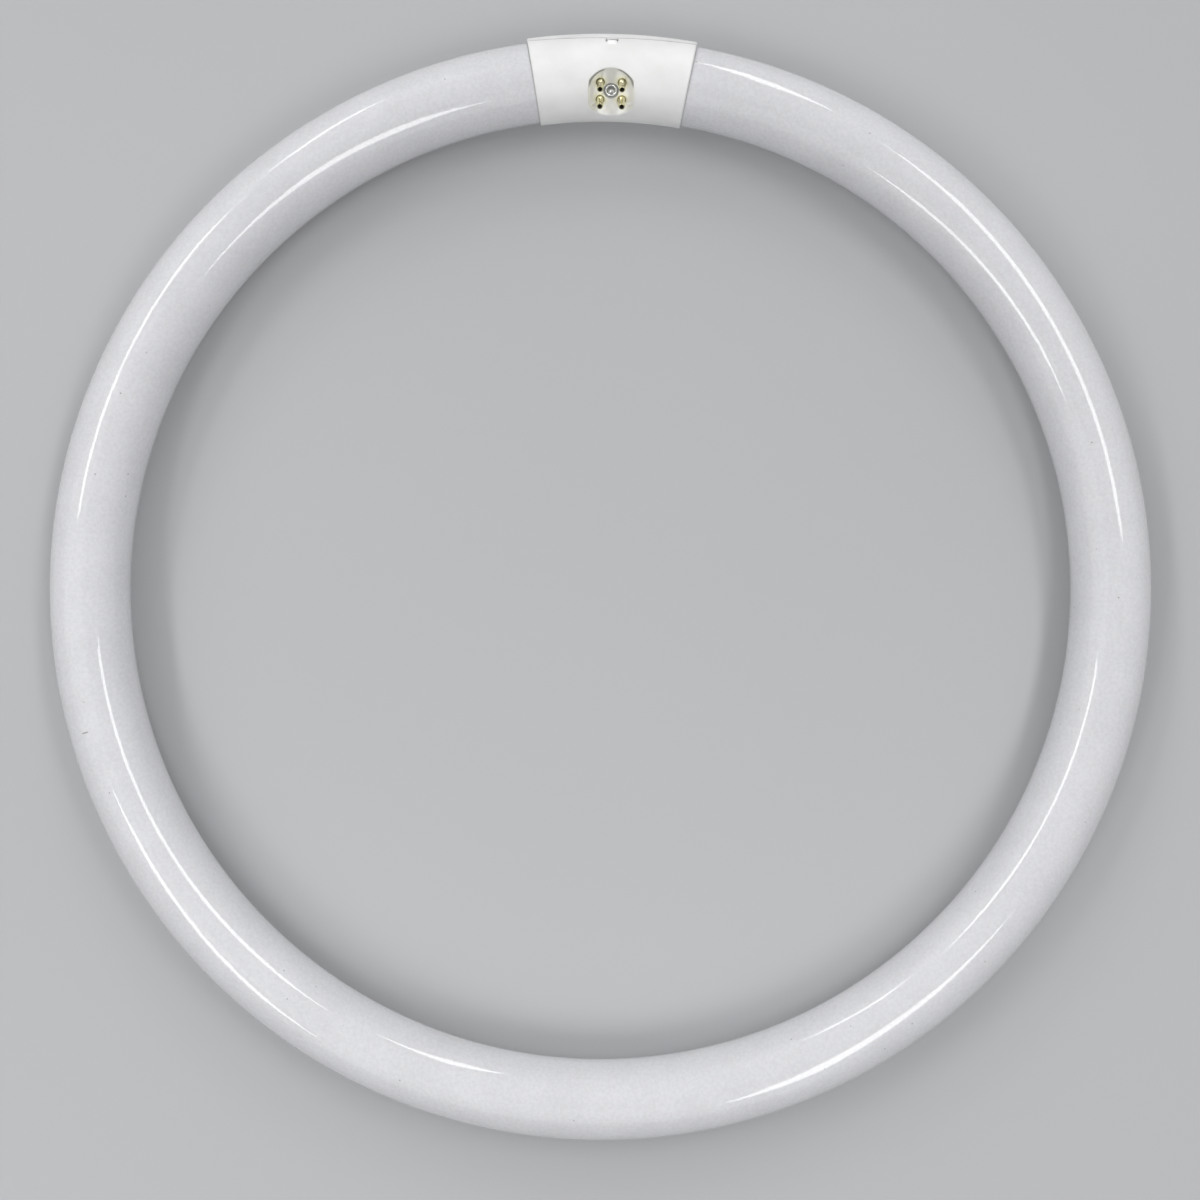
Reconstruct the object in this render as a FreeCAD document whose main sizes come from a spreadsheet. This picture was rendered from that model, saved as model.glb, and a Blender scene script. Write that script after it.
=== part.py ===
"""A ring-shaped fluorescent lamp: one sealed glass tube bent into a circle, its two ends held in a
moulded base of two half shells, with four hollow contact pins in a recessed face.

The ring lies in the XY plane about the origin, and the base is at +Y. The base has a frame of its
own: its centre is on the tube's centre line, X runs along the tube, and its Z is the pin direction,
which leans from +Z in towards the middle of the ring. Lengths are in millimetres.
"""
import FreeCAD, Part
import math
import os
import types
import Sketcher

SIZES = {
    # the glass ring
    "ring_outer_dia": 406.4,
    "tube_dia": 28.8,
    "glass_end_rounding": 5.0,
    "flare_dia": 11.0,
    "flare_depth": 6.0,
    # the moulded base
    "base_length": 58.0,
    "base_wall": 1.0,
    "base_offset": 0.45,
    "end_angle": 10.6,
    "end_rounding": 0.6,
    "glass_clearance": 0.2,
    "parting_height": 1.2,
    "parting_rounding": 0.4,
    "pin_tilt": 37.0,
    # the recessed contact face and the ribs beside it
    "well_depth": 4.0,
    "well_draft": 16.0,
    "well_corner": 0.5,
    "well_rim": 0.3,
    "floor_length": 14.5,
    "floor_dia": 17.1,
    "floor_plate": 2.0,
    "well_wall": 2.3,
    "rib_wall": 1.6,
    "rib_clearance": 0.6,
    # the key on the parting line, the notch that it enters and the tongue above the notch
    "notch_width": 4.4,
    "notch_height": 2.4,
    "notch_depth": 0.5,
    "key_height": 0.8,
    "key_clearance": 0.1,
    "tongue_width": 3.4,
    "tongue_height": 1.8,
    "tongue_rise": 0.45,
    # the contact pins
    "pin_spacing_along": 7.92,
    "pin_spacing_across": 6.35,
    "pin_dia": 2.35,
    "pin_length": 7.1,
    "pin_bore": 1.6,
    "pin_bore_depth": 5.0,
    "pin_tip_rounding": 0.3,
    "neck_dia": 1.7,
    "collar_dia": 3.2,
    "collar_height": 0.4,
    "tail_dia": 3.0,
    "tail_length": 1.0,
    "pin_clearance": 0.03,
    # the rivet that clamps the shells, and the posts round it
    "rivet_dia": 3.0,
    "rivet_clearance": 0.1,
    "rivet_head_dia": 5.2,
    "rivet_head_height": 1.0,
    "rivet_crown_radius": 1.5,
    "rivet_dish_dia": 2.4,
    "rivet_dish_depth": 0.5,
    "rivet_seat_depth": 1.2,
    "rivet_seat_clearance": 0.2,
    "rivet_tail_dia": 5.6,
    "rivet_tail_height": 0.8,
    "rivet_tail_depth": 1.0,
    "post_clearance": 0.3,
    # the lead wires
    "wire_dia": 0.6,
    "wire_clearance": 0.04,
    "wire_bend": 3.0,
    "wire_seal_depth": 3.0,
    "wire_stop": 1.5,
}

document = FreeCAD.newDocument("ring_lamp")
sheet = document.addObject("Spreadsheet::Sheet", "Sizes")
for row, (name, number) in enumerate(SIZES.items(), start=1):
    sheet.set(f"A{row}", name)
    sheet.set(f"B{row}", str(number))
    sheet.setAlias(f"B{row}", name)
document.recompute()


class Size:
    """A number together with the sheet expression that gives it."""

    def __init__(self, number, text=None):
        self.number = float(number)
        self.text = text or repr(float(number))

    def join(self, mark, other, number):
        return Size(number, f"({self.text} {mark} {other.text})")

    def __add__(self, other):
        other = as_size(other)
        return self.join("+", other, self.number + other.number)

    def __sub__(self, other):
        other = as_size(other)
        return self.join("-", other, self.number - other.number)

    def __mul__(self, other):
        other = as_size(other)
        return self.join("*", other, self.number * other.number)

    def __truediv__(self, other):
        other = as_size(other)
        return self.join("/", other, self.number / other.number)

    def __neg__(self):
        return Size(-self.number, f"(-{self.text})")

    def __radd__(self, other):
        return as_size(other) + self

    def __rsub__(self, other):
        return as_size(other) - self

    def __rmul__(self, other):
        return as_size(other) * self


def as_size(value):
    return value if isinstance(value, Size) else Size(value)


def sine(angle):
    return Size(math.sin(math.radians(angle.number)), f"sin({angle.text})")


def cosine(angle):
    return Size(math.cos(math.radians(angle.number)), f"cos({angle.text})")


def tangent(angle):
    return Size(math.tan(math.radians(angle.number)), f"tan({angle.text})")


def root(value):
    return Size(math.sqrt(value.number), f"sqrt({value.text})")


def turn_of(arc_length, radius):
    """The angle in degrees that a length takes up on a circle."""
    share = arc_length / radius
    return Size(math.degrees(share.number), f"({share.text} * 180 / pi)")


size = types.SimpleNamespace(**{name: Size(number, f"Sizes.{name}") for name, number in SIZES.items()})

# lengths that several pieces share
ring_radius = (size.ring_outer_dia - size.tube_dia) / 2
tube_radius = size.tube_dia / 2
bore_radius = tube_radius + size.glass_clearance
base_radius = bore_radius + size.base_wall
floor_height = base_radius - size.well_depth
plate_under = floor_height - size.floor_plate
rib_length = size.floor_length + size.well_wall * 2
chamber_length = rib_length - size.rib_wall * 2
glass_gap = rib_length + size.rib_clearance * 2
pin_radius = size.pin_dia / 2
pin_tip = floor_height + size.pin_length
pin_bore_bottom = pin_tip - size.pin_bore_depth
rivet_seat = floor_height - size.rivet_seat_depth
rivet_hole = size.rivet_dia / 2 + size.rivet_clearance
half_along = size.pin_spacing_along / 2
half_across = size.pin_spacing_across / 2
post_to_pin = root(half_along * half_along + half_across * half_across)
post_radius = post_to_pin - size.tail_dia / 2 - size.post_clearance
offset_along_pins = size.base_offset * sine(size.pin_tilt)
offset_across_pins = size.base_offset * cosine(size.pin_tilt)
back_crown = base_radius + offset_along_pins
back_seat = back_crown - size.rivet_tail_depth
wire_hole = size.wire_dia / 2 + size.wire_clearance
flare_end = glass_gap / 2 + size.flare_depth
wire_start = flare_end + size.wire_seal_depth
notch_top = size.parting_height + size.notch_height
spare = base_radius * 4


def bind(owner, path, value):
    owner.setExpression(path, as_size(value).text)


def new_body(label):
    body = document.addObject("PartDesign::Body", label)
    body.Label = label
    return body


def new_body_in_base(label, along=0, across=0):
    """A body whose own origin is in the base's frame, with its Z along the pins."""
    body = new_body(label)
    body.Placement = base_frame(Size(0.0))
    y, z = in_section(across, 0)
    bind(body, "Placement.Base.x", along)
    bind(body, "Placement.Base.y", y)
    bind(body, "Placement.Base.z", z)
    bind(body, "Placement.Rotation.Angle", size.pin_tilt)
    return body


def base_frame(height):
    """The base's own frame, moved along the pin direction by a height."""
    middle = FreeCAD.Vector(
        0,
        ring_radius.number - height.number * math.sin(math.radians(size.pin_tilt.number)),
        height.number * math.cos(math.radians(size.pin_tilt.number)),
    )
    return FreeCAD.Placement(middle, FreeCAD.Rotation(FreeCAD.Vector(1, 0, 0), size.pin_tilt.number))


def from_base(point):
    """A point's place in the base's frame: along the tube, across it and along the pins."""
    return base_frame(Size(0.0)).inverse().multVec(point)


def in_section(across, height):
    """A place in the base's frame, across the tube and along the pins, on the YZ plane's own axes."""
    across, height = as_size(across), as_size(height)
    y = ring_radius + across * cosine(size.pin_tilt) - height * sine(size.pin_tilt)
    z = across * sine(size.pin_tilt) + height * cosine(size.pin_tilt)
    return y, z


def outside_at(height):
    """How far across the tube the base's outer surface is, at a height along the pins."""
    rise = as_size(height) + offset_along_pins
    return offset_across_pins + root(base_radius * base_radius - rise * rise)


class Drawing:
    """A sketch on one of its body's origin planes, with every corner dimensioned from the sheet."""

    def __init__(self, body, name, plane):
        self.sketch = body.newObject("Sketcher::SketchObject", name)
        origin_plane = next(item for item in body.Origin.OriginFeatures if item.Role == plane)
        self.sketch.AttachmentSupport = [(origin_plane, "")]
        self.sketch.MapMode = "FlatFace"

    def across_base(self, height):
        """Turns a sketch on the XY plane square to the pins, at a height in the base's frame."""
        height = as_size(height)
        self.sketch.AttachmentOffset = base_frame(height)
        bind(self.sketch, "AttachmentOffset.Base.y", ring_radius - height * sine(size.pin_tilt))
        bind(self.sketch, "AttachmentOffset.Base.z", height * cosine(size.pin_tilt))
        bind(self.sketch, "AttachmentOffset.Rotation.Angle", size.pin_tilt)
        return self

    def lifted(self, height):
        """Moves a sketch along its plane's normal."""
        height = as_size(height)
        self.sketch.AttachmentOffset = FreeCAD.Placement(
            FreeCAD.Vector(0, 0, height.number), FreeCAD.Rotation()
        )
        bind(self.sketch, "AttachmentOffset.Base.z", height)
        return self

    def turned(self, angle):
        """Turns a sketch about the plane's upright axis."""
        self.sketch.AttachmentOffset = FreeCAD.Placement(
            FreeCAD.Vector(), FreeCAD.Rotation(FreeCAD.Vector(0, 1, 0), angle.number)
        )
        bind(self.sketch, "AttachmentOffset.Rotation.Angle", angle)
        return self

    def dimension(self, kind, value, *where):
        index = self.sketch.addConstraint(Sketcher.Constraint(kind, *where, value.number))
        bind(self.sketch, f"Constraints[{index}]", value)

    def pin_point(self, curve, end, x, y):
        self.dimension("DistanceX", as_size(x), curve, end)
        self.dimension("DistanceY", as_size(y), curve, end)

    def circle(self, x, y, radius):
        x, y, radius = as_size(x), as_size(y), as_size(radius)
        centre = FreeCAD.Vector(x.number, y.number, 0)
        curve = self.sketch.addGeometry(Part.Circle(centre, FreeCAD.Vector(0, 0, 1), radius.number))
        self.pin_point(curve, 3, x, y)
        self.dimension("Radius", radius, curve)
        return self

    def chain(self, corners, closed=True):
        """Lines through the corners, each corner (x, y), or (x, y, radius) where the stretch that ends
        there is an arc: a positive radius keeps its centre on the left, a negative one on the right."""
        corners = [tuple(as_size(part) for part in corner) for corner in corners]
        places = [FreeCAD.Vector(corner[0].number, corner[1].number, 0) for corner in corners]
        stretches = list(range(len(corners) if closed else len(corners) - 1))
        curves = []
        for index in stretches:
            following = (index + 1) % len(corners)
            start, end = places[index], places[following]
            if len(corners[following]) == 2:
                curve = self.sketch.addGeometry(Part.LineSegment(start, end))
                curves.append((curve, 1, 2))
                continue
            radius = corners[following][2]
            curves.append(self.arc(start, end, radius))
        for index in stretches:
            curve, first, last = curves[index]
            self.pin_point(curve, first, corners[index][0], corners[index][1])
            if closed or index < len(stretches) - 1:
                meets, start, _ = curves[(index + 1) % len(curves)]
                self.sketch.addConstraint(Sketcher.Constraint("Coincident", curve, last, meets, start))
            else:
                self.pin_point(curve, last, corners[index + 1][0], corners[index + 1][1])
        return self

    def arc(self, start, end, radius):
        half = (end - start) / 2
        side = FreeCAD.Vector(-half.y, half.x, 0).normalize()
        rise = math.sqrt(max(radius.number**2 - half.Length**2, 0.0))
        turn = 1 if radius.number > 0 else -1
        centre = start + half + side * (rise * turn)
        first, last = (start, end) if turn > 0 else (end, start)
        from_angle = math.atan2(first.y - centre.y, first.x - centre.x)
        to_angle = math.atan2(last.y - centre.y, last.x - centre.x)
        whole = Part.Circle(centre, FreeCAD.Vector(0, 0, 1), abs(radius.number))
        curve = self.sketch.addGeometry(Part.ArcOfCircle(whole, from_angle, to_angle))
        self.dimension("Radius", radius if turn > 0 else -radius, curve)
        return (curve, 1, 2) if turn > 0 else (curve, 2, 1)


def extrude(body, kind, name, drawing, length, way="along"):
    """A pad or pocket along the sketch's normal, against it, or half each way."""
    feature = body.newObject(f"PartDesign::{kind}", name)
    feature.Profile = drawing.sketch
    bind(feature, "Length", length)
    if way == "both":
        feature.SideType = "Symmetric"
    else:
        feature.Reversed = (way == "along") == (kind == "Pocket")
    document.recompute()
    return feature


def spin(body, kind, name, drawing, angle, both_ways=False):
    """A revolution or groove about the sketch's upright axis."""
    feature = body.newObject(f"PartDesign::{kind}", name)
    feature.Profile = drawing.sketch
    feature.ReferenceAxis = (drawing.sketch, ["V_Axis"])
    bind(feature, "Angle", angle)
    feature.Midplane = both_ways
    document.recompute()
    return feature


def mirror_along_tube(body, name, feature):
    """The same feature on the other side of the base's middle."""
    mirrored = body.newObject("PartDesign::Mirrored", name)
    mirrored.Originals = [feature]
    middle = next(item for item in body.Origin.OriginFeatures if item.Role == "YZ_Plane")
    mirrored.MirrorPlane = (middle, [""])
    body.Tip = mirrored
    document.recompute()
    return mirrored


def round_edges(body, name, wanted, radius):
    """A fillet on the edges that a test picks from the body's last feature."""
    last = body.Tip
    edges = enumerate(last.Shape.Edges, start=1)
    names = [f"Edge{index}" for index, edge in edges if wanted(last.Shape, edge)]
    feature = body.newObject("PartDesign::Fillet", name)
    feature.Base = (last, names)
    bind(feature, "Radius", radius)
    document.recompute()
    return feature


def faces_at(shape, edge):
    return [face for face in shape.Faces if any(edge.isSame(other) for other in face.Edges)]


def make_glass_tube():
    body = new_body("glass_tube")
    section = Drawing(body, "tube_section", "YZ_Plane").circle(-ring_radius, 0, tube_radius)
    spin(body, "Revolution", "bent_tube", section, 360 - turn_of(glass_gap, ring_radius), both_ways=True)
    round_edges(
        body,
        "sealed_ends",
        lambda shape, edge: any(isinstance(face.Surface, Part.Plane) for face in faces_at(shape, edge)),
        size.glass_end_rounding,
    )
    flare = Drawing(body, "flare_mouth", "YZ_Plane").circle(ring_radius, 0, size.flare_dia / 2)
    extrude(body, "Pocket", "flares", flare, flare_end * 2, way="both")
    seals = Drawing(body, "wire_seals", "YZ_Plane")
    for side in (1, -1):
        seals.circle(*in_section(half_across * side, 0), wire_hole)
    extrude(body, "Pocket", "wire_holes", seals, wire_start * 2, way="both")
    return body


def base_blank(body):
    """The base's outside: a block with splayed ends, turned down to the ring's curve."""
    inner = ring_radius - spare / 2
    outer = ring_radius + spare / 2
    splay = tangent(size.end_angle) * spare / 2
    half = size.base_length / 2
    plan = Drawing(body, "base_plan", "XY_Plane").chain(
        [
            (-half + splay, inner),
            (half - splay, inner),
            (half + splay, outer),
            (-half - splay, outer),
        ]
    )
    extrude(body, "Pad", "base_block", plan, spare, way="both")
    waste = Drawing(body, "outside_waste", "YZ_Plane").chain(
        [
            (ring_radius - spare, -spare),
            (ring_radius + spare, -spare),
            (ring_radius + spare, spare),
            (ring_radius - spare, spare),
        ]
    )
    waste.circle(ring_radius + size.base_offset, 0, base_radius)
    spin(body, "Groove", "ring_curve", waste, turn_of(size.base_length * 2, ring_radius), both_ways=True)


def slab_outline(body, name, height):
    """A square wider than the base, square to the pins at a height."""
    drawing = Drawing(body, name, "XY_Plane").across_base(height)
    return drawing.chain([(-spare, -spare), (spare, -spare), (spare, spare), (-spare, spare)])


def key_outline(drawing, clearance):
    """The key on the outer side of the parting line, smaller than its notch by a clearance."""
    half = size.notch_width / 2 - clearance
    inner = outside_at(notch_top) - size.notch_depth + clearance
    outer = base_radius * 2
    return drawing.chain([(-half, inner), (half, inner), (half, outer), (-half, outer)])


def round_base_ends(body):
    """Rounds the rims where the splayed ends meet the outside."""
    end_faces_x = math.cos(math.radians(size.end_angle.number)) - 1e-6

    def is_end_rim(shape, edge):
        faces = faces_at(shape, edge)
        flats = [face for face in faces if isinstance(face.Surface, Part.Plane)]
        at_end = any(abs(face.normalAt(0, 0).x) > end_faces_x for face in flats)
        return at_end and any(isinstance(face.Surface, Part.Toroid) for face in faces)

    round_edges(body, "end_rims", is_end_rim, size.end_rounding)


def round_parting_edges(body):
    """Rounds the long edges where the parting plane meets the outside."""

    def is_parting_edge(shape, edge):
        heights = [from_base(vertex.Point).z for vertex in edge.Vertexes]
        level = all(math.isclose(height, size.parting_height.number, abs_tol=1e-4) for height in heights)
        return level and any(isinstance(face.Surface, Part.Toroid) for face in faces_at(shape, edge))

    round_edges(body, "parting_edges", is_parting_edge, size.parting_rounding)


def make_well_block():
    """The space over the contact face: the floor's outline carried up with drafted walls."""
    block = new_body("well_block")
    reach = size.floor_length / 2
    radius = size.floor_dia / 2
    shoulder = root(radius * radius - reach * reach)
    outline = Drawing(block, "well_floor", "XY_Plane").across_base(floor_height)
    outline.chain(
        [
            (reach, -shoulder, radius),
            (reach, shoulder),
            (-reach, shoulder, radius),
            (-reach, -shoulder),
        ]
    )
    straight = extrude(block, "Pad", "straight_walls", outline, base_radius, way="along")
    faces = enumerate(straight.Shape.Faces, start=1)
    upwards = sorted((from_base(face.CenterOfMass).z, f"Face{index}") for index, face in faces)
    floor, *walls, _ = [name for _, name in upwards]
    drafted = block.newObject("PartDesign::Draft", "drafted_walls")
    drafted.Base = (straight, walls)
    drafted.NeutralPlane = (straight, [floor])
    drafted.Reversed = True
    bind(drafted, "Angle", size.well_draft)
    document.recompute()

    def is_corner(shape, edge):
        heights = [from_base(vertex.Point).z for vertex in edge.Vertexes]
        return max(heights) - min(heights) > size.well_depth.number

    round_edges(block, "well_corners", is_corner, size.well_corner)
    return block


def sink_well(body):
    """Cuts the recessed contact face and rounds its rim."""
    well = body.newObject("PartDesign::Boolean", "well")
    well.Type = "Cut"
    well.addObject(make_well_block())
    document.recompute()

    def is_rim(shape, edge):
        outside = [isinstance(face.Surface, Part.Toroid) for face in faces_at(shape, edge)]
        places = [from_base(vertex.Point) for vertex in edge.Vertexes]
        near = all(abs(place.x) < rib_length.number / 2 and place.z > floor_height.number for place in places)
        return near and any(outside) and not all(outside)

    round_edges(body, "well_rim", is_rim, size.well_rim)


def make_front_shell():
    body = new_body("front_shell")
    base_blank(body)
    half_plan = slab_outline(body, "parting", size.parting_height)
    extrude(body, "Pocket", "other_half", half_plan, spare, way="against")
    round_base_ends(body)
    round_parting_edges(body)
    sink_well(body)

    # the seat of each glass end stops at a rib beside the contact face
    rib = turn_of(rib_length / 2, ring_radius)
    seat = Drawing(body, "glass_seat_section", "YZ_Plane").turned(-rib)
    seat.circle(ring_radius, 0, bore_radius)
    groove = spin(body, "Groove", "glass_seat", seat, turn_of(size.base_length, ring_radius))
    groove.Reversed = True
    document.recompute()
    mirror_along_tube(body, "glass_seats", groove)

    # the chamber behind the contact face
    half = chamber_length / 2
    chord = root(bore_radius * bore_radius - plate_under * plate_under)
    chamber = Drawing(body, "chamber_outline", "XY_Plane").across_base(plate_under)
    chamber.chain([(-half, -chord), (half, -chord), (half, chord), (-half, chord)])
    extrude(body, "Pocket", "chamber", chamber, plate_under, way="against")

    # the post that the rivet clamps
    post = Drawing(body, "post_outline", "XY_Plane").across_base(size.parting_height)
    post.circle(0, 0, post_radius)
    extrude(body, "Pad", "post", post, floor_height - size.parting_height, way="along")

    # holes for the pins and the rivet
    holes = Drawing(body, "pin_holes_outline", "XY_Plane").across_base(floor_height)
    for along, across in pin_places():
        holes.circle(along, across, size.neck_dia / 2 + size.pin_clearance)
    extrude(body, "Pocket", "pin_holes", holes, size.floor_plate, way="against")
    seat = Drawing(body, "rivet_seat_outline", "XY_Plane").across_base(floor_height)
    seat.circle(0, 0, size.rivet_head_dia / 2 + size.rivet_seat_clearance)
    extrude(body, "Pocket", "rivet_seat", seat, size.rivet_seat_depth, way="against")
    bore_for_rivet(body)

    # a tongue that slopes up to the notch for the other shell's key
    tongue_top = notch_top + size.tongue_height
    crest = outside_at(notch_top) + size.tongue_rise
    root_top = tongue_top + size.tongue_height
    root_across = outside_at(tongue_top) * 2 - crest
    tongue = Drawing(body, "tongue_section", "YZ_Plane").chain(
        [
            in_section(root_across, notch_top),
            in_section(crest, notch_top),
            in_section(root_across, root_top),
        ]
    )
    extrude(body, "Pad", "tongue", tongue, size.tongue_width, way="both")
    notch = Drawing(body, "notch_outline", "XY_Plane").across_base(size.parting_height)
    extrude(body, "Pocket", "notch", key_outline(notch, 0), size.notch_height, way="along")
    return body


def bore_for_rivet(body):
    hole = Drawing(body, "rivet_hole_outline", "XY_Plane").across_base(-back_crown)
    hole.circle(0, 0, rivet_hole)
    extrude(body, "Pocket", "rivet_hole", hole, back_crown + floor_height, way="along")


def make_back_shell():
    body = new_body("back_shell")
    base_blank(body)
    above_key = slab_outline(body, "above_key", size.parting_height + size.key_height)
    extrude(body, "Pocket", "other_half", above_key, spare, way="along")
    round_base_ends(body)
    round_key = key_outline(slab_outline(body, "parting", size.parting_height), size.key_clearance)
    extrude(body, "Pocket", "round_key", round_key, size.key_height, way="along")
    bore = Drawing(body, "glass_bore_section", "YZ_Plane").circle(ring_radius, 0, bore_radius)
    spin(body, "Groove", "glass_bore", bore, turn_of(size.base_length * 2, ring_radius), both_ways=True)

    # the post that meets the front shell's post, and the seat of the rivet's tail
    post = Drawing(body, "post_outline", "XY_Plane").across_base(size.parting_height)
    post.circle(0, 0, post_radius)
    extrude(body, "Pad", "post", post, size.parting_height + (bore_radius + back_crown) / 2, way="against")
    tail = Drawing(body, "tail_seat_outline", "XY_Plane").across_base(-back_seat)
    tail.circle(0, 0, size.rivet_tail_dia / 2 + size.rivet_seat_clearance)
    extrude(body, "Pocket", "tail_seat", tail, size.rivet_tail_depth * 2, way="against")
    bore_for_rivet(body)
    return body


def pin_places():
    """The four pins, along and across the tube from the middle of the contact face."""
    return [
        (-half_along, half_across),
        (half_along, half_across),
        (half_along, -half_across),
        (-half_along, -half_across),
    ]


def make_contact_pin(number, along, across):
    """A hollow pin with a collar on the floor, a neck through it and a flared tail under it."""
    body = new_body_in_base(f"contact_pin_{number}", along, across)
    tail_end = plate_under - size.tail_length
    collar_top = floor_height + size.collar_height
    rounding = size.pin_tip_rounding
    bore = size.pin_bore / 2
    profile = Drawing(body, f"pin_{number}_section", "XZ_Plane").chain(
        [
            (wire_hole, tail_end),
            (size.tail_dia / 2, tail_end),
            (size.tail_dia / 2, plate_under),
            (size.neck_dia / 2, plate_under),
            (size.neck_dia / 2, floor_height),
            (size.collar_dia / 2, floor_height),
            (size.collar_dia / 2, collar_top),
            (pin_radius, collar_top),
            (pin_radius, pin_tip - rounding),
            (pin_radius - rounding, pin_tip, rounding),
            (bore, pin_tip),
            (bore, pin_bore_bottom),
            (wire_hole, pin_bore_bottom),
        ]
    )
    spin(body, "Revolution", f"pin_{number}", profile, 360)
    return body


def make_rivet():
    """The rivet as set: a domed, dished head in front and a clinched tail behind."""
    body = new_body_in_base("rivet")
    shank = size.rivet_dia / 2
    head = size.rivet_head_dia / 2
    tail = size.rivet_tail_dia / 2
    dish = size.rivet_dish_dia / 2
    top = rivet_seat + size.rivet_head_height
    tail_end = back_seat + size.rivet_tail_height
    crown = (head - dish) / 2
    profile = Drawing(body, "rivet_section", "XZ_Plane").chain(
        [
            (0, -tail_end),
            (shank, -tail_end),
            (tail, -back_seat, tail),
            (shank, -back_seat),
            (shank, rivet_seat),
            (head, rivet_seat),
            (dish + crown, top, size.rivet_crown_radius),
            (dish, top - size.rivet_dish_depth / 2, size.rivet_crown_radius),
            (0, top - size.rivet_dish_depth),
        ]
    )
    spin(body, "Revolution", "set_rivet", profile, 360)
    return body


def make_lead_wire(number, along, across):
    """A wire from the seal in the glass, round one bend and up into its pin."""
    body = new_body_in_base(f"lead_wire_{number}", 0, across)
    side = 1 if along.number > 0 else -1
    start = wire_start * side
    bend = size.wire_bend
    top = pin_bore_bottom + size.wire_stop
    route = Drawing(body, f"wire_{number}_route", "XZ_Plane").chain(
        [(start, 0), (along + bend * side, 0), (along, bend, bend * -side), (along, top)], closed=False
    )
    section = Drawing(body, f"wire_{number}_section", "YZ_Plane").lifted(start)
    section.circle(0, 0, size.wire_dia / 2)
    wire = body.newObject("PartDesign::AdditivePipe", f"wire_{number}")
    wire.Profile = section.sketch
    wire.Spine = (route.sketch, [])
    document.recompute()
    return body


def check_document():
    for item in document.Objects:
        if "Invalid" in item.State or "Error" in item.State:
            raise RuntimeError(f"{item.Label} didn't build")


def write_parts(bodies):
    for body in bodies:
        if body.Shape.isNull() or not body.Shape.isValid():
            raise RuntimeError(f"{body.Label} has no valid shape")
    os.makedirs("parts", exist_ok=True)
    for body in bodies:
        body.Shape.exportStep(f"parts/{body.Label}.step")


parts = [make_glass_tube(), make_front_shell(), make_back_shell(), make_rivet()]
for number, place in enumerate(pin_places(), start=1):
    parts.append(make_contact_pin(number, *place))
    parts.append(make_lead_wire(number, *place))
document.recompute()
check_document()
write_parts(parts)
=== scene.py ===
"""A ring-shaped fluorescent lamp lying on a pale studio floor, seen from straight above.

The coated glass ring is modelled here at its packed size. The two moulded shells of its base, the hollow
pins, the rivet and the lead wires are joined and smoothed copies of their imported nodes. Lengths are in
metres, and those of the lamp are written as millimetres times MM.
"""

import math

import bpy
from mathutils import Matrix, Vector


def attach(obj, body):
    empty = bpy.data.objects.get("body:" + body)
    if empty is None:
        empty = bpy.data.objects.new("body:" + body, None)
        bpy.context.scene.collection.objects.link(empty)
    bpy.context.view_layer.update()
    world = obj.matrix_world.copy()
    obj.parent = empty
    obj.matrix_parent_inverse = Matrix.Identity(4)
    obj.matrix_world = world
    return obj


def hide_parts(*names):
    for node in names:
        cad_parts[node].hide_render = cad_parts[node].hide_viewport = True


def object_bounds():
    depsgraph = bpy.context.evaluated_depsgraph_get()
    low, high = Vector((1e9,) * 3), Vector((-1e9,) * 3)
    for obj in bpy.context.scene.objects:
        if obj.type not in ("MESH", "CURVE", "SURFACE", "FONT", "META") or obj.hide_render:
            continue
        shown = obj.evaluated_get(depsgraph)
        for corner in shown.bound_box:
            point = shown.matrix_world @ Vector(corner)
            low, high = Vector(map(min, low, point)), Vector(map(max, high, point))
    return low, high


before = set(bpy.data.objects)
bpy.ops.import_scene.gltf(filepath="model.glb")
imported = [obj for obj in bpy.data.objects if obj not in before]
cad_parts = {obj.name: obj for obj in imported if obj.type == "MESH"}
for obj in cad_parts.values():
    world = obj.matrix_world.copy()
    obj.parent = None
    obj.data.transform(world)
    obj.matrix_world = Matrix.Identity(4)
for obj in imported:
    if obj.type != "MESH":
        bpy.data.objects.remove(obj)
cad_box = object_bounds()

MM = 0.001

# the glass ring
RING_RADIUS = 188.8 * MM
TUBE_RADIUS = 14.4 * MM
GLASS_GAP = 20.3 * MM
END_ROUNDING = 5.0 * MM
FLARE_RADIUS = 5.5 * MM
FLARE_DEPTH = 6.0 * MM
TUBE_SIDES = 96
TUBE_STEPS = 420
END_STEPS = 6

# the wave in the glass, the marks on it and the painted shade next to the base: a pair is where a mark
# or the shade starts to fade and where it ends
WAVE_DEPTH = 0.03 * MM
SPECK_CELLS_PER_METRE = 120.0
SPECK_FADE_IN_CELLS = (0.022, 0.045)
SCUFF_ANGLE = math.radians(196.8)
SCUFF_RADIUS = 193.8 * MM
SCUFF_HALF_WIDTH = (0.1 * MM, 0.35 * MM)
SCUFF_HALF_LENGTH = (0.8 * MM, 1.5 * MM)
# painted shade on the glass next to each end of the base
JOINT_SHADE = (0.2 * MM, 0.7 * MM)

# the base's own frame: its centre is on the tube's centre line, and its pins lean in over the ring
PIN_TILT = math.radians(37.0)
BASE_RADIUS = 15.6 * MM
BASE_HALF_LENGTH = 29.0 * MM
BASE_END_ANGLE = math.radians(10.6)
BASE_OFFSET = 0.45 * MM
PARTING_HEIGHT = 1.2 * MM
WELL_FLOOR_RADIUS = 8.55 * MM
WELL_RADIUS = 9.8 * MM
RIVET_SEAT_RADIUS = 2.8 * MM
PIN_ALONG = 3.96 * MM
PIN_ACROSS = 3.175 * MM
PIN_RADIUS = 1.175 * MM
PIN_BORE_RADIUS = 0.8 * MM
COLLAR_TOP = 12.0 * MM
PIN_TIP = 18.7 * MM
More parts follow.
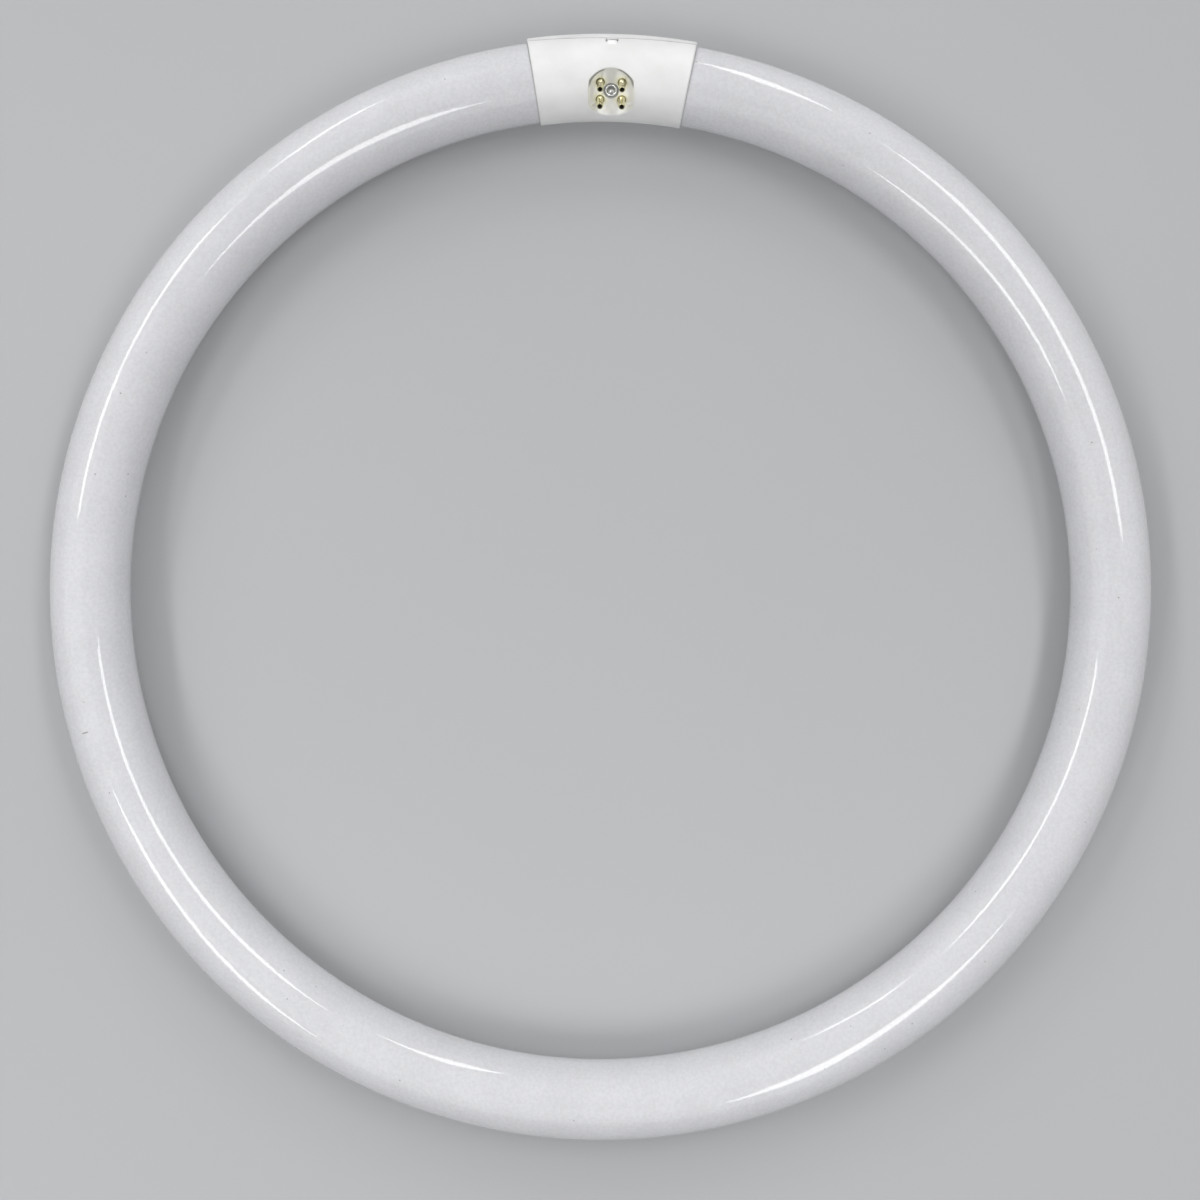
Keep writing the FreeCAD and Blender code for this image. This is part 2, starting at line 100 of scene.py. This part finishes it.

# the base's skin, and the edges of its finishes and of the light and shade painted on the base and pins:
# a pair is where an edge starts and where it ends
SKIN_DEPTH = 0.02 * MM
# painted shade along the parting line of the shells
SEAM_SHADE = (0.15 * MM, 0.7 * MM)
TONGUE_BOTTOM = (3.6 * MM, 3.9 * MM)
TONGUE_TOP = (5.0 * MM, 5.4 * MM)
TONGUE_HALF_WIDTH = (1.53 * MM, 1.7 * MM)
WELL_EDGE = (WELL_RADIUS, 1.04 * WELL_RADIUS)
WELL_LIP = (0.3 * MM, 0.7 * MM)
PIN_HALO = (1.2 * PIN_RADIUS, 3.2 * PIN_RADIUS)
CORNER_START = (1.5 * MM, 3.5 * MM)
CORNER_RADIUS = (0.91 * WELL_FLOOR_RADIUS, 0.97 * WELL_FLOOR_RADIUS)
RIVET_SEAT_EDGE = (RIVET_SEAT_RADIUS, RIVET_SEAT_RADIUS + 0.2 * MM)
PIN_BORE_EDGE = (PIN_BORE_RADIUS + 0.02 * MM, PIN_BORE_RADIUS + 0.1 * MM)
COLLAR_EDGE = (1.05 * PIN_RADIUS, 1.2 * PIN_RADIUS)
# painted shade at the pin roots, and the span over which the pins darken towards their tips
ROOT_SHADE = (COLLAR_TOP, COLLAR_TOP + 1.2 * MM)
TIP_DARKENING = (PIN_TIP - 0.5 * MM, PIN_TIP)
DISH_MIDDLE = (0.35 * MM, 0.6 * MM)
DISH_RIM = (1.5 * MM, 1.9 * MM)

# how the meshes are joined, and how far their faces may bend and still look smooth
SAME_PLACE = 0.001 * MM
JOIN_DISTANCE = 0.0005 * MM
GLASS_CREASE = math.radians(40)
SHELL_CREASE = math.radians(28)
METAL_CREASE = math.radians(35)

# the photograph's camera, on the ring's axis, with its lens and sensor in millimetres
CAMERA_HEIGHT = 622.0 * MM
CAMERA_LENS = 50.4
CAMERA_SENSOR = 36.0
CAMERA_ROLL = math.radians(1.22)
CAMERA_SHIFT = (-0.0004, -0.009)

# the ceiling lamps whose reflections streak the glass
CEILING = 2.0
STRIP_WIDTH = 0.38
STRIP_LENGTH = 1.15
LONG_STRIP_LENGTH = 1.75
STRIP_BRIGHTNESS = 6.8

# the floor, and how far out it fades into the plain backdrop
FLOOR_WIDTH = 12.0
FLOOR_FADE = (0.6, 1.8)

# the room's plain colours
BACKDROP = (0.48, 0.485, 0.495, 1.0)
BLACK = (0.0, 0.0, 0.0, 1.0)
WHITE = (1.0, 1.0, 1.0, 1.0)


class Wire:
    """A socket in a node tree. Arithmetic on it adds Math nodes to the tree."""

    def __init__(self, tree, socket=None):
        self.tree = tree
        self.socket = socket

    def node(self, kind, settings, sockets, output=0):
        """Adds a node, sets it up, fills or links its sockets and returns one of its outputs."""
        made = self.tree.nodes.new(kind)
        for name, value in settings.items():
            setattr(made, name, value)
        for name, value in sockets.items():
            if isinstance(value, Wire):
                self.tree.links.new(value.socket, made.inputs[name])
            else:
                made.inputs[name].default_value = value
        if output is not None:
            return Wire(self.tree, made.outputs[output])

    def math(self, operation, *values):
        """Adds a Math node that works on these values."""
        return self.node("ShaderNodeMath", {"operation": operation}, dict(enumerate(values)))

    def __add__(self, other):
        return self.math("ADD", self, other)

    def __sub__(self, other):
        return self.math("SUBTRACT", self, other)

    def __mul__(self, other):
        return self.math("MULTIPLY", self, other)

    def __radd__(self, other):
        return self.math("ADD", other, self)

    def __rsub__(self, other):
        return self.math("SUBTRACT", other, self)

    def __rmul__(self, other):
        return self.math("MULTIPLY", other, self)

    def over(self, low, high):
        """0 below low, 1 above high, and smooth between them."""
        return self.node(
            "ShaderNodeMapRange",
            {"interpolation_type": "SMOOTHSTEP"},
            {"Value": self, "From Min": low, "From Max": high},
        )

    def under(self, low, high):
        """1 below low, 0 above high, and smooth between them."""
        return 1 - self.over(low, high)

    def away_from(self, value):
        """How far this is from a value, either way."""
        return self.math("ABSOLUTE", self - value)

    def size_with(self, other):
        """The length of a vector with these two parts."""
        return self.math("SQRT", self * self + other * other)

    def paint(self, under, top):
        """This mask's mix of two colours."""
        return self.node("ShaderNodeMix", {"data_type": "RGBA"}, {0: self, 6: under, 7: top}, output=2)


def colour(red, green, blue):
    """An opaque colour."""
    return (red, green, blue, 1.0)


def new_material(name):
    """An empty material, and its object coordinates."""
    material = bpy.data.materials.new(name)
    material.use_nodes = True
    material.node_tree.nodes.clear()
    place = Wire(material.node_tree).node("ShaderNodeTexCoord", {}, {}, output="Object")
    return material, place


def finish_surface(place, sockets):
    """Ends a material in one Principled surface with these sockets."""
    surface = place.node("ShaderNodeBsdfPrincipled", {}, sockets)
    place.node("ShaderNodeOutputMaterial", {}, {"Surface": surface}, output=None)


def split(vector):
    """The three parts of a vector."""
    return [vector.node("ShaderNodeSeparateXYZ", {}, {"Vector": vector}, output=axis) for axis in "XYZ"]


def in_base(place):
    """The base's own coordinates: along the tube, across it and along the pins."""
    centre = (0, -RING_RADIUS * math.cos(PIN_TILT), RING_RADIUS * math.sin(PIN_TILT))
    turned = place.node(
        "ShaderNodeMapping", {}, {"Vector": place, "Location": centre, "Rotation": (-PIN_TILT, 0, 0)}
    )
    return split(turned)


def from_pins(along, across):
    """How far a place is from the nearest pin's axis."""
    return (along.away_from(0) - PIN_ALONG).size_with(across.away_from(0) - PIN_ACROSS)


def below_outside(place):
    """How deep a place is below the base's round outside."""
    x, y, z = split(place)
    return BASE_RADIUS - (x.size_with(y) - (RING_RADIUS + BASE_OFFSET)).size_with(z)


def noise(place, per_metre, detail=2.0, roughness=0.5):
    """An uneven pattern of so many lumps to the metre."""
    return place.node(
        "ShaderNodeTexNoise",
        {},
        {"Vector": place, "Scale": per_metre, "Detail": detail, "Roughness": roughness},
    )


def bump(place, height, depth, strength=1.0):
    """Normals that make a pattern look raised by a depth."""
    return place.node("ShaderNodeBump", {}, {"Height": height, "Distance": depth, "Strength": strength})


def coated_glass():
    """Glass over a white powder coat, with dark specks, a scuff, painted shade where it enters the base
    and a faint wave.
    """
    material, place = new_material("coated_glass")
    mottle = noise(place, per_metre=60.0, detail=3.0)
    grain = noise(place, per_metre=800.0, detail=3.0, roughness=0.65)
    powder = (mottle * 0.3 + grain * 0.7).over(0.3, 0.7)
    coat = powder.paint(colour(0.635, 0.637, 0.655), colour(0.715, 0.717, 0.737))

    cells = {"Vector": place, "Scale": SPECK_CELLS_PER_METRE}
    from_speck = place.node("ShaderNodeTexVoronoi", {}, cells, output="Distance")
    specks = from_speck.under(*SPECK_FADE_IN_CELLS)
    x, y, z = split(place)
    beside_scuff = x * -math.sin(SCUFF_ANGLE) + y * math.cos(SCUFF_ANGLE)
    on_top_left = z.over(0, TUBE_RADIUS / 2) * x.under(-2 * TUBE_RADIUS, 0)
    scuff = beside_scuff.away_from(0).under(*SCUFF_HALF_WIDTH) * on_top_left
    scuff *= x.size_with(y).away_from(SCUFF_RADIUS).under(*SCUFF_HALF_LENGTH)
    # painted shade: a dark line on the glass just past each end of the base, standing in for the shade
    # of its step
    past_base = x.away_from(0) - BASE_HALF_LENGTH - (y - RING_RADIUS) * math.tan(BASE_END_ANGLE)
    joint_shade = past_base.under(*JOINT_SHADE) * y.over(0, RING_RADIUS / 2)
    # real specks and scuff, mixed with the painted shade line by the base
    dirt_and_shade = specks * 0.6 + scuff * 0.7 + joint_shade * 0.3

    wave = noise(place, per_metre=150.0, detail=1.0)
    finish_surface(
        place,
        {
            "Base Color": dirt_and_shade.paint(coat, colour(0.16, 0.15, 0.14)),
            "Roughness": 0.05,
            "Normal": bump(place, wave, WAVE_DEPTH),
        },
    )
    return material


def base_plastic():
    """White satin plastic with painted shade along its parting line, in the well's upper corners and
    round the rivet's seat, a painted highlight on the latch's ramp, painted light in the well and
    painted cream light from the brass round the pins.
    """
    material, place = new_material("base_plastic")
    cloud = noise(place, per_metre=90.0, detail=3.0).over(0.3, 0.7)
    skin = noise(place, per_metre=2600.0)
    along, across, height = in_base(place)
    from_rivet = along.size_with(across)

    # painted shade: a grey band along the parting line, standing in for its shade
    seam_shade = height.away_from(PARTING_HEIGHT).under(*SEAM_SHADE)
    # painted highlight: the latch's ramp whiter, standing in for a lamp's reflection on it
    tongue_highlight = height.over(*TONGUE_BOTTOM) * height.under(*TONGUE_TOP)
    tongue_highlight *= along.away_from(0).under(*TONGUE_HALF_WIDTH) * across.over(0, BASE_RADIUS / 2)
    in_well = from_rivet.under(*WELL_EDGE) * height.over(0, BASE_RADIUS / 2)
    # painted light: the well's floor and walls whiter, standing in for light its walls keep off
    lightened_well = in_well * below_outside(place).over(*WELL_LIP)
    # painted light: cream light from the brass pins on the well floor round them
    brass_bounce_light = in_well * from_pins(along, across).under(*PIN_HALO)
    # painted shade: dark arcs on the floor under the overhang at the well's upper corners
    corner = lightened_well * from_rivet.over(*CORNER_RADIUS)
    corner *= across.over(*CORNER_START) * along.away_from(0).over(*CORNER_START)
    # painted shade: a dark ring round the rivet's seat, standing in for the shadow in its gap
    seat_shade = lightened_well * from_rivet.under(*RIVET_SEAT_EDGE)

    plastic = cloud.paint(colour(0.82, 0.82, 0.81), colour(0.87, 0.87, 0.865))
    # in order: painted shade, painted highlight, painted light, painted cream light from the brass,
    # painted shade, painted shade
    for mask, shade in (
        (seam_shade * 0.8, colour(0.66, 0.66, 0.655)),
        (tongue_highlight, colour(0.97, 0.97, 0.965)),
        (lightened_well, colour(0.94, 0.94, 0.92)),
        (brass_bounce_light, colour(0.95, 0.935, 0.74)),
        (corner, colour(0.34, 0.34, 0.33)),
        (seat_shade, colour(0.52, 0.52, 0.50)),
    ):
        plastic = mask.paint(plastic, shade)
    finish_surface(
        place,
        {
            "Base Color": plastic,
            "Roughness": 0.34 + 0.1 * cloud,
            "Normal": bump(place, skin, SKIN_DEPTH, strength=0.35),
        },
    )
    return material


def pin_brass():
    """Pale drawn brass in tarnished patches, with painted shade at the pin roots and on the collars'
    rims, darker towards the tips and with painted black shade inside the hollow tips.
    """
    material, place = new_material("pin_brass")
    along, across, height = in_base(place)
    from_axis = from_pins(along, across)
    outside = from_axis.over(*PIN_BORE_EDGE)
    # painted shade on the pins just above their collars
    low = height.under(*ROOT_SHADE)
    # painted shade on the collars' outer rims
    collar_shade = from_axis.over(*COLLAR_EDGE)
    # darker towards the tips
    tip_darkening = height.over(*TIP_DARKENING)
    patches = noise(place, per_metre=700.0, detail=4.0, roughness=0.6)
    # real tarnish in the patches, mixed with painted shade at the roots and collars' rims and the
    # darkening towards the tips
    tarnish_and_shade = (patches * 0.6 + low * 0.3 + collar_shade * 0.5 + tip_darkening * 0.35).over(0.35, 0.9)
    brass = tarnish_and_shade.paint(colour(0.88, 0.83, 0.56), colour(0.26, 0.24, 0.10))
    finish_surface(
        place,
        {
            # painted shade: black inside the hollow tips' bores
            "Base Color": outside.paint(colour(0.012, 0.011, 0.006), brass),
            "Metallic": outside,
            "Roughness": 0.62 + outside * (0.16 * tarnish_and_shade - 0.40),
        },
    )
    return material


def bright_metal():
    """Bright plate with faint marks from the setting tool, tarnished and darkened with painted shade
    round the middle of its dish.
    """
    material, place = new_material("bright_metal")
    marks = noise(place, per_metre=1500.0, detail=3.0).over(0.35, 0.7)
    along, across, _ = in_base(place)
    from_axis = along.size_with(across)
    # tarnish and painted shade: a dark ring round the middle of the dish
    dish = from_axis.over(*DISH_MIDDLE) * from_axis.under(*DISH_RIM)
    plate = marks.paint(colour(0.80, 0.80, 0.78), colour(0.66, 0.66, 0.65))
    finish_surface(
        place,
        {
            "Base Color": dish.paint(plate, colour(0.27, 0.27, 0.265)),
            "Metallic": 1.0,
            "Roughness": 0.12 + 0.14 * marks + 0.12 * dish,
        },
    )
    return material


def wire_metal():
    """Plain drawn wire, uneven in colour."""
    material, place = new_material("wire_metal")
    dull = noise(place, per_metre=900.0, detail=3.0)
    finish_surface(
        place,
        {
            "Base Color": dull.paint(colour(0.55, 0.53, 0.49), colour(0.66, 0.63, 0.58)),
            "Metallic": 1.0,
            "Roughness": 0.35,
        },
    )
    return material


def is_seen(place):
    """1 for what is seen, straight or in a reflection, and 0 for what only lights the lamp."""
    straight, mirrored, passed = [
        place.node("ShaderNodeLightPath", {}, {}, output=f"Is {ray} Ray")
        for ray in ("Camera", "Glossy", "Transmission")
    ]
    return straight + mirrored + passed


def floor_paint():
    """Matt pale paint that fades into the backdrop well away from the lamp."""
    material, place = new_material("floor_paint")
    cloud = noise(place, per_metre=3.0)
    paint = cloud.paint(colour(0.47, 0.475, 0.485), colour(0.50, 0.505, 0.515))
    x, y, _ = split(place)
    far = is_seen(place) * x.size_with(y).over(*FLOOR_FADE)
    finish_surface(
        place,
        {
            "Base Color": far.paint(paint, BLACK),
            "Roughness": 0.85,
            "Specular IOR Level": 0.0,
            "Emission Color": far.paint(BLACK, BACKDROP),
            "Emission Strength": 1.0,
        },
    )
    return material


def deselect_all():
    """Leaves nothing selected, so that operators act on the next piece alone."""
    if bpy.context.mode != "OBJECT":
        bpy.ops.object.mode_set(mode="OBJECT")
    bpy.ops.object.select_all(action="DESELECT")


def on_ring(angle):
    """A point on the ring's centre line, at an angle from +X."""
    return Vector((RING_RADIUS * math.cos(angle), RING_RADIUS * math.sin(angle), 0))


def select_where(piece, test):
    """In edit mode, selects just the vertices that pass a test on their place."""
    bpy.ops.mesh.select_all(action="DESELECT")
    bpy.ops.mesh.select_mode(type="VERT")
    bpy.ops.object.mode_set(mode="OBJECT")
    for vertex in piece.data.vertices:
        vertex.select = test(vertex.co)
    bpy.ops.object.mode_set(mode="EDIT")


def push_loop(shift, scale, centre):
    """Extrudes the selected loop, moves the new one and sizes it about a centre."""
    bpy.ops.mesh.extrude_edges_move(TRANSFORM_OT_translate={"value": shift})
    bpy.ops.transform.resize(value=(scale, scale, scale), center_override=centre)


def close_tube_end(tube, angle, way):
    """Rounds in one open end of the tube, recesses its middle for the wires and closes it."""
    middle = on_ring(angle)
    outward = Vector((-math.sin(angle), math.cos(angle), 0)) * way
    select_where(tube, lambda place: abs((place - middle).dot(outward)) < SAME_PLACE and place.y > 0)
    radius = TUBE_RADIUS
    reach = 0.0
    for step in range(1, END_STEPS + 1):
        bend = math.pi / 2 * step / END_STEPS
        next_reach = END_ROUNDING * math.sin(bend)
        next_radius = TUBE_RADIUS - END_ROUNDING * (1 - math.cos(bend))
        shift = outward * (next_reach - reach)
        push_loop(shift, next_radius / radius, middle + outward * next_reach)
        reach = next_reach
        radius = next_radius
    push_loop((0, 0, 0), FLARE_RADIUS / radius, middle + outward * reach)
    push_loop(outward * -FLARE_DEPTH, 1.0, middle)
    bpy.ops.mesh.edge_face_add()


def model_glass_tube():
    """The bent tube, spun round the ring's axis, with a closed end each side of the gap at the base."""
    half_gap = (GLASS_GAP / 2 + END_ROUNDING) / RING_RADIUS
    first = math.pi / 2 + half_gap
    turn = 2 * math.pi - 2 * half_gap
    deselect_all()
    bpy.ops.mesh.primitive_circle_add(
        vertices=TUBE_SIDES,
        radius=TUBE_RADIUS,
        location=on_ring(first),
        rotation=(0, math.pi / 2, first + math.pi / 2),
    )
    tube = bpy.context.active_object
    bpy.ops.object.transform_apply(location=True, rotation=True, scale=True)
    bpy.ops.object.mode_set(mode="EDIT")
    bpy.ops.mesh.select_all(action="SELECT")
    bpy.ops.mesh.spin(steps=TUBE_STEPS, angle=-turn, center=(0, 0, 0), axis=(0, 0, 1))
    close_tube_end(tube, first, way=-1)
    close_tube_end(tube, first + turn, way=1)
    bpy.ops.mesh.select_all(action="SELECT")
    bpy.ops.mesh.normals_make_consistent(inside=False)
    bpy.ops.object.mode_set(mode="OBJECT")
    bpy.ops.object.shade_smooth_by_angle(angle=GLASS_CREASE)
    return tube


def dressed_copy(node_name, crease):
    """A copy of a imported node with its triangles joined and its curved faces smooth."""
    deselect_all()
    piece = bpy.data.objects.new(node_name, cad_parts[node_name].data.copy())
    bpy.context.scene.collection.objects.link(piece)
    bpy.context.view_layer.objects.active = piece
    piece.select_set(True)
    bpy.ops.object.mode_set(mode="EDIT")
    bpy.ops.mesh.select_all(action="SELECT")
    bpy.ops.mesh.remove_doubles(threshold=JOIN_DISTANCE)
    bpy.ops.object.mode_set(mode="OBJECT")
    bpy.ops.object.shade_smooth_by_angle(angle=crease)
    return piece


def put_on(piece, node_name, material):
    """Names a piece, finishes it and sets it in the frame in place of its node."""
    piece.name = f"{node_name}_finished"
    piece.data.materials.clear()
    piece.data.materials.append(material)
    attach(piece, "root")
    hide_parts(node_name)


def add_lamp(name, place, size, brightness):
    """A flat soft lamp, as bright to look at whatever its size, that shines down until it is aimed."""
    lamp = bpy.data.lights.new(name, "AREA")
    lamp.shape = "RECTANGLE"
    width, length = size
    lamp.size = width
    lamp.size_y = length
    lamp.energy = brightness * math.pi * width * length
    holder = bpy.data.objects.new(name, lamp)
    holder.location = place
    bpy.context.scene.collection.objects.link(holder)
    return holder


def aim_at_middle(holder):
    """Turns a lamp to the middle of the ring."""
    holder.rotation_euler = (-holder.location).to_track_quat("-Z", "Y").to_euler()


def hang_lamps():
    """Two rows of ceiling strips along Y, which the glass mirrors, and three soft boxes."""
    for name, across, along, length in (
        ("strip_right", 0.95, 0.70, STRIP_LENGTH),
        ("strip_right_far", 0.80, 2.9, LONG_STRIP_LENGTH),
        ("strip_right_near", 0.62, -1.15, STRIP_LENGTH),
        ("strip_left", -1.45, 0.75, STRIP_LENGTH),
        ("strip_left_far", -1.60, 2.6, STRIP_LENGTH),
        ("strip_left_near", -1.20, -1.15, STRIP_LENGTH),
    ):
        add_lamp(name, (across, along, CEILING), (STRIP_WIDTH, length), STRIP_BRIGHTNESS)
    for name, place, size, brightness in (
        ("softbox_far", (-1.6, 1.8, 1.8), (2.4, 1.6), 0.5),
        ("softbox_near", (-0.1, -0.9, 1.0), (1.5, 1.0), 0.70),
        ("softbox_left", (-0.95, -0.15, 1.1), (1.0, 1.4), 0.74),
    ):
        aim_at_middle(add_lamp(name, place, size, brightness))


def light_room():
    """The room's own light, dim but paler to +X and white to +Y. What is seen of it is the backdrop."""
    world = bpy.data.worlds.new("studio")
    bpy.context.scene.world = world
    world.use_nodes = True
    world.node_tree.nodes.clear()
    way = Wire(world.node_tree).node("ShaderNodeTexCoord", {}, {}, output="Generated")
    to_right, to_base, _ = split(way)
    sides = to_right.paint(colour(0.07, 0.07, 0.075), colour(0.40, 0.40, 0.41))
    walls = to_base.paint(sides, WHITE)
    room = is_seen(way).paint(walls, BACKDROP)
    sky = way.node("ShaderNodeBackground", {}, {"Color": room})
    way.node("ShaderNodeOutputWorld", {}, {"Surface": sky}, output=None)


def lay_floor():
    """A wide plain floor, level with the lowest point of the lamp."""
    deselect_all()
    bpy.ops.mesh.primitive_plane_add(size=FLOOR_WIDTH, location=(0, 0, cad_box[0].z))
    floor = bpy.context.active_object
    floor.name = "floor"
    floor.data.materials.append(floor_paint())


def place_camera():
    """The photograph's camera, looking straight down."""
    camera = bpy.data.cameras.new("camera")
    camera.sensor_width = CAMERA_SENSOR
    camera.lens = CAMERA_LENS
    camera.shift_x, camera.shift_y = CAMERA_SHIFT
    holder = bpy.data.objects.new("camera", camera)
    holder.location = (0, 0, CAMERA_HEIGHT)
    holder.rotation_euler = (0, 0, CAMERA_ROLL)
    bpy.context.scene.collection.objects.link(holder)
    bpy.context.scene.camera = holder


glass = coated_glass()
plastic = base_plastic()
brass = pin_brass()
plated = bright_metal()
bare_wire = wire_metal()

put_on(model_glass_tube(), "glass_tube", glass)
for shell in ("front_shell", "back_shell"):
    put_on(dressed_copy(shell, SHELL_CREASE), shell, plastic)
put_on(dressed_copy("rivet", METAL_CREASE), "rivet", plated)
for number in range(1, 5):
    pin = f"contact_pin_{number}"
    lead = f"lead_wire_{number}"
    put_on(dressed_copy(pin, METAL_CREASE), pin, brass)
    put_on(dressed_copy(lead, METAL_CREASE), lead, bare_wire)

lay_floor()
hang_lamps()
light_room()
place_camera()
bpy.context.scene.view_settings.view_transform = "Standard"
